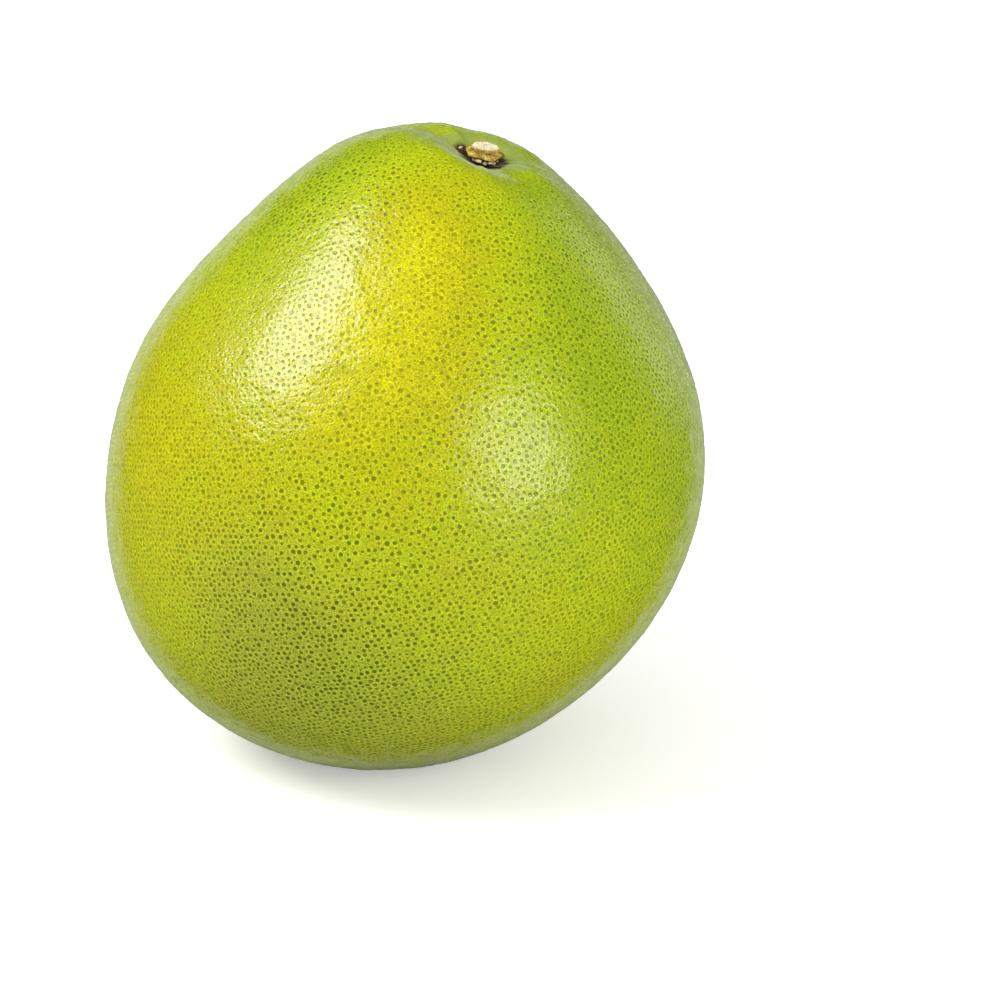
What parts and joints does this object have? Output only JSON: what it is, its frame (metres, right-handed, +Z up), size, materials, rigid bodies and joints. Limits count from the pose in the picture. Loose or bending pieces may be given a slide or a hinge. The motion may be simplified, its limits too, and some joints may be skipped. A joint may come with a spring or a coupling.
{
  "type": "oroblanco",
  "caption": "Whole pear-shaped citrus fruit with dotted rind, leaning a little on its flat spot, with a dry stem button.",
  "frame": {"origin": "on the resting surface, under the middle of the fruit", "axes": "+Z up as the fruit rests, -Y towards the front, and the stem end leans 15 degrees from +Z towards +X"},
  "size_m": [0.1196, 0.1184, 0.1282],
  "materials": {
    "rind": "waxy citrus rind, yellow to green, pitted with fine darker oil glands, satin to glossy",
    "dry_stem": "dry corky calyx, tan to orange-brown, with a pale fibrous cut face, matt"
  },
  "bodies": {
    "root": {"fruit": "rind", "stem_button": "dry_stem"}
  },
  "joints": []
}
